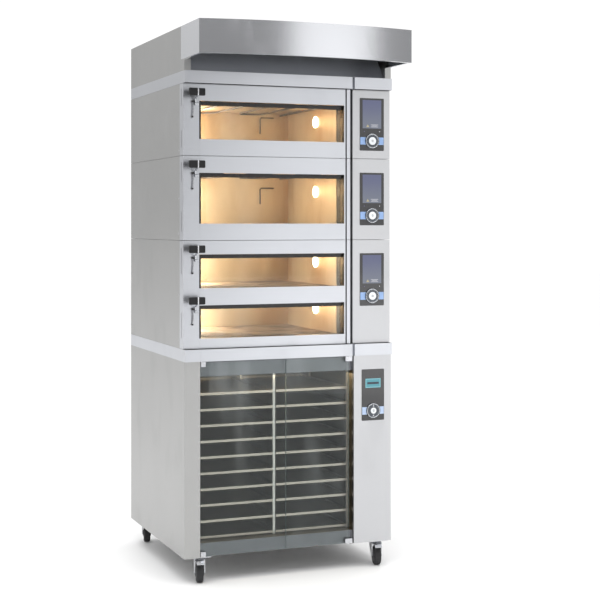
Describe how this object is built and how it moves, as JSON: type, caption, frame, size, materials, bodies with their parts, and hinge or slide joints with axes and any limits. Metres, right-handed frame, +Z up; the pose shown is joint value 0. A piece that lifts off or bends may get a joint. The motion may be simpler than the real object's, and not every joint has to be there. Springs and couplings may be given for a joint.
{
  "type": "deck oven",
  "caption": "Bakery deck oven tower with glazed baking chambers, proofing cabinet with glass doors, bowed extractor hood and swivel casters.",
  "frame": {"origin": "centre of the footprint's bounding box, on the floor under the wheels", "axes": "+Z up, front towards -Y, +X to the right of somebody facing the front"},
  "size_m": [0.93, 1.1019, 2.2835],
  "materials": {
    "side_steel": "satin brushed stainless steel sheet",
    "front_steel": "fine brushed stainless steel",
    "column_steel": "fine brushed stainless steel",
    "hood_steel": "brushed stainless steel with a soft sheen",
    "baffle_steel": "dark stainless steel",
    "frame_steel": "dark painted steel tube",
    "inner_steel": "stainless sheet",
    "rack_steel": "stainless strip",
    "tray_aluminium": "rolled aluminium sheet",
    "mineral_wool": "mineral wool slab",
    "chamber_steel": "heat tinted stainless sheet",
    "baking_stone": "cordierite slab",
    "element_steel": "oxidised heating tube",
    "lamp_glass": "frosted lamp lens",
    "panel_glass": "gloss black front",
    "display_screen": "lit display",
    "door_glass": "clear toughened glass",
    "handle_plastic": "black moulded grip on a steel arm",
    "lever_steel": "polished rod with a black tip",
    "dial_plastic": "dark moulded dial with a pale ring",
    "button_plastic": "white push button",
    "zinc_steel": "bright zinc plated pressing",
    "tread_rubber": "black rubber tread",
    "fan_aluminium": "pressed sheet"
  },
  "bodies": {
    "root": {"base_frame": "frame_steel", "caster_plates": "zinc_steel", "prover_cabinet": "side_steel", "prover_liner": "inner_steel", "tray_rack": "rack_steel", "proofing_trays": "tray_aluminium", "humidifier": "inner_steel", "deck_1_casing": "side_steel", "deck_2_casing": "side_steel", "deck_3_casing": "side_steel", "insulation": "mineral_wool", "chamber_liners": "chamber_steel", "baking_stones": "baking_stone", "heating_elements": "element_steel", "oven_lamps": "lamp_glass", "deck_1_front": "front_steel", "deck_2_front": "front_steel", "deck_3_front": "front_steel", "control_columns": "column_steel", "control_bezels": "panel_glass", "displays": "display_screen", "joint_bands": "front_steel", "hood_body": "side_steel", "hood_canopy": "hood_steel", "hood_baffle": "baffle_steel"},
    "oven_door_1": {"oven_door_1": "door_glass"},
    "door_handle_1": {"door_handle_1": "handle_plastic"},
    "damper_lever_1": {"damper_lever_1": "lever_steel"},
    "oven_door_2": {"oven_door_2": "door_glass"},
    "door_handle_2": {"door_handle_2": "handle_plastic"},
    "damper_lever_2": {"damper_lever_2": "lever_steel"},
    "oven_door_3": {"oven_door_3": "door_glass"},
    "door_handle_3": {"door_handle_3": "handle_plastic"},
    "damper_lever_3": {"damper_lever_3": "lever_steel"},
    "oven_door_4": {"oven_door_4": "door_glass"},
    "door_handle_4": {"door_handle_4": "handle_plastic"},
    "damper_lever_4": {"damper_lever_4": "lever_steel"},
    "dial_deck_1": {"dial_deck_1": "dial_plastic"},
    "dial_button_deck_1": {"dial_button_deck_1": "button_plastic"},
    "dial_deck_2": {"dial_deck_2": "dial_plastic"},
    "dial_button_deck_2": {"dial_button_deck_2": "button_plastic"},
    "dial_deck_3": {"dial_deck_3": "dial_plastic"},
    "dial_button_deck_3": {"dial_button_deck_3": "button_plastic"},
    "dial_prover": {"dial_prover": "dial_plastic"},
    "dial_button_prover": {"dial_button_prover": "button_plastic"},
    "caster_fork_front_left": {"caster_fork_front_left": "zinc_steel"},
    "caster_wheel_front_left": {"caster_wheel_front_left": "tread_rubber"},
    "caster_fork_front_right": {"caster_fork_front_right": "zinc_steel"},
    "caster_wheel_front_right": {"caster_wheel_front_right": "tread_rubber"},
    "caster_fork_rear_left": {"caster_fork_rear_left": "zinc_steel"},
    "caster_wheel_rear_left": {"caster_wheel_rear_left": "tread_rubber"},
    "caster_fork_rear_right": {"caster_fork_rear_right": "zinc_steel"},
    "caster_wheel_rear_right": {"caster_wheel_rear_right": "tread_rubber"},
    "brake_pedal_front_left": {"brake_pedal_front_left": "zinc_steel"},
    "brake_pedal_front_right": {"brake_pedal_front_right": "zinc_steel"},
    "prover_door_left": {"prover_door_left": "door_glass", "hinge_shoes_left": "rack_steel"},
    "prover_door_right": {"prover_door_right": "door_glass", "hinge_shoes_right": "rack_steel"},
    "hood_fan": {"hood_fan": "fan_aluminium"}
  },
  "joints": [
    {"name": "oven_door_1_swing", "type": "hinge", "parent": "root", "child": "oven_door_1", "pos_m": [0, -0.26, 1.969], "axis": [1, 0, 0], "range_deg": [0, 75]},
    {"name": "door_handle_1_pull", "type": "hinge", "parent": "root", "child": "door_handle_1", "pos_m": [-0.417, -0.295, 1.9645], "axis": [1, 0, 0], "range_deg": [0, 75]},
    {"name": "damper_lever_1_turn", "type": "hinge", "parent": "root", "child": "damper_lever_1", "pos_m": [-0.426, -0.292, 1.9735], "axis": [0, 1, 0], "range_deg": [0, 30]},
    {"name": "oven_door_2_swing", "type": "hinge", "parent": "root", "child": "oven_door_2", "pos_m": [0, -0.26, 1.673], "axis": [1, 0, 0], "range_deg": [0, 75]},
    {"name": "door_handle_2_pull", "type": "hinge", "parent": "root", "child": "door_handle_2", "pos_m": [-0.417, -0.295, 1.6705], "axis": [1, 0, 0], "range_deg": [0, 75]},
    {"name": "damper_lever_2_turn", "type": "hinge", "parent": "root", "child": "damper_lever_2", "pos_m": [-0.426, -0.292, 1.6795], "axis": [0, 1, 0], "range_deg": [0, 30]},
    {"name": "oven_door_3_swing", "type": "hinge", "parent": "root", "child": "oven_door_3", "pos_m": [0, -0.26, 1.338], "axis": [1, 0, 0], "range_deg": [0, 75]},
    {"name": "door_handle_3_pull", "type": "hinge", "parent": "root", "child": "door_handle_3", "pos_m": [-0.417, -0.295, 1.3245], "axis": [1, 0, 0], "range_deg": [0, 75]},
    {"name": "damper_lever_3_turn", "type": "hinge", "parent": "root", "child": "damper_lever_3", "pos_m": [-0.426, -0.292, 1.3335], "axis": [0, 1, 0], "range_deg": [0, 30]},
    {"name": "oven_door_4_swing", "type": "hinge", "parent": "root", "child": "oven_door_4", "pos_m": [0, -0.26, 1.1286], "axis": [1, 0, 0], "range_deg": [0, 75]},
    {"name": "door_handle_4_pull", "type": "hinge", "parent": "root", "child": "door_handle_4", "pos_m": [-0.417, -0.295, 1.1146], "axis": [1, 0, 0], "range_deg": [0, 75]},
    {"name": "damper_lever_4_turn", "type": "hinge", "parent": "root", "child": "damper_lever_4", "pos_m": [-0.426, -0.292, 1.1236], "axis": [0, 1, 0], "range_deg": [0, 30]},
    {"name": "dial_deck_1_turn", "type": "hinge", "parent": "root", "child": "dial_deck_1", "pos_m": [0.3805, -0.292, 1.829], "axis": [0, 1, 0], "continuous": true},
    {"name": "dial_button_deck_1_press", "type": "slide", "parent": "root", "child": "dial_button_deck_1", "axis": [0, 1, 0], "range_m": [0, 0.0016], "stiffness_N_per_m": 500, "springref_m": -0.001},
    {"name": "dial_deck_2_turn", "type": "hinge", "parent": "root", "child": "dial_deck_2", "pos_m": [0.3805, -0.292, 1.508], "axis": [0, 1, 0], "continuous": true},
    {"name": "dial_button_deck_2_press", "type": "slide", "parent": "root", "child": "dial_button_deck_2", "axis": [0, 1, 0], "range_m": [0, 0.0016], "stiffness_N_per_m": 500, "springref_m": -0.001},
    {"name": "dial_deck_3_turn", "type": "hinge", "parent": "root", "child": "dial_deck_3", "pos_m": [0.3805, -0.292, 1.162], "axis": [0, 1, 0], "continuous": true},
    {"name": "dial_button_deck_3_press", "type": "slide", "parent": "root", "child": "dial_button_deck_3", "axis": [0, 1, 0], "range_m": [0, 0.0016], "stiffness_N_per_m": 500, "springref_m": -0.001},
    {"name": "dial_prover_turn", "type": "hinge", "parent": "root", "child": "dial_prover", "pos_m": [0.3795, -0.305, 0.67], "axis": [0, 1, 0], "continuous": true},
    {"name": "dial_button_prover_press", "type": "slide", "parent": "root", "child": "dial_button_prover", "axis": [0, 1, 0], "range_m": [0, 0.0016], "stiffness_N_per_m": 500, "springref_m": -0.001},
    {"name": "caster_front_left_swivel", "type": "hinge", "parent": "root", "child": "caster_fork_front_left", "pos_m": [-0.385, -0.244, 0.095], "axis": [0, 0, 1], "continuous": true},
    {"name": "caster_front_left_roll", "type": "hinge", "parent": "caster_fork_front_left", "child": "caster_wheel_front_left", "pos_m": [-0.3913, -0.27128, 0.04], "axis": [0.9744, -0.225, 0], "continuous": true},
    {"name": "brake_pedal_front_left_press", "type": "hinge", "parent": "caster_fork_front_left", "child": "brake_pedal_front_left", "pos_m": [-0.39535, -0.28882, 0.0895], "axis": [0.9744, -0.225, 0], "range_deg": [0, 12]},
    {"name": "caster_front_right_swivel", "type": "hinge", "parent": "root", "child": "caster_fork_front_right", "pos_m": [0.415, -0.244, 0.095], "axis": [0, 0, 1], "continuous": true},
    {"name": "caster_front_right_roll", "type": "hinge", "parent": "caster_fork_front_right", "child": "caster_wheel_front_right", "pos_m": [0.4087, -0.27128, 0.04], "axis": [0.9744, -0.225, 0], "continuous": true},
    {"name": "brake_pedal_front_right_press", "type": "hinge", "parent": "caster_fork_front_right", "child": "brake_pedal_front_right", "pos_m": [0.40465, -0.28882, 0.0895], "axis": [0.9744, -0.225, 0], "range_deg": [0, 12]},
    {"name": "caster_rear_left_swivel", "type": "hinge", "parent": "root", "child": "caster_fork_rear_left", "pos_m": [-0.407, 0.482, 0.095], "axis": [0, 0, 1], "continuous": true},
    {"name": "caster_rear_left_roll", "type": "hinge", "parent": "caster_fork_rear_left", "child": "caster_wheel_rear_left", "pos_m": [-0.4007, 0.50928, 0.04], "axis": [-0.9744, 0.225, 0], "continuous": true},
    {"name": "caster_rear_right_swivel", "type": "hinge", "parent": "root", "child": "caster_fork_rear_right", "pos_m": [0.407, 0.482, 0.095], "axis": [0, 0, 1], "continuous": true},
    {"name": "caster_rear_right_roll", "type": "hinge", "parent": "caster_fork_rear_right", "child": "caster_wheel_rear_right", "pos_m": [0.4133, 0.50928, 0.04], "axis": [-0.9744, 0.225, 0], "continuous": true},
    {"name": "prover_door_left_swing", "type": "hinge", "parent": "root", "child": "prover_door_left", "pos_m": [-0.386, -0.291, 0.507], "axis": [0, 0, -1], "range_deg": [0, 110]},
    {"name": "prover_door_right_swing", "type": "hinge", "parent": "root", "child": "prover_door_right", "pos_m": [0.28, -0.291, 0.507], "axis": [0, 0, 1], "range_deg": [0, 110]},
    {"name": "hood_fan_spin", "type": "hinge", "parent": "root", "child": "hood_fan", "pos_m": [0, 0.22838, 2.1385], "axis": [0, 0, 1], "continuous": true}
  ],
  "couplings": [
    {"joint": "door_handle_1_pull", "follows": "oven_door_1_swing", "ratio": 1},
    {"joint": "door_handle_2_pull", "follows": "oven_door_2_swing", "ratio": 1},
    {"joint": "door_handle_3_pull", "follows": "oven_door_3_swing", "ratio": 1},
    {"joint": "door_handle_4_pull", "follows": "oven_door_4_swing", "ratio": 1}
  ]
}
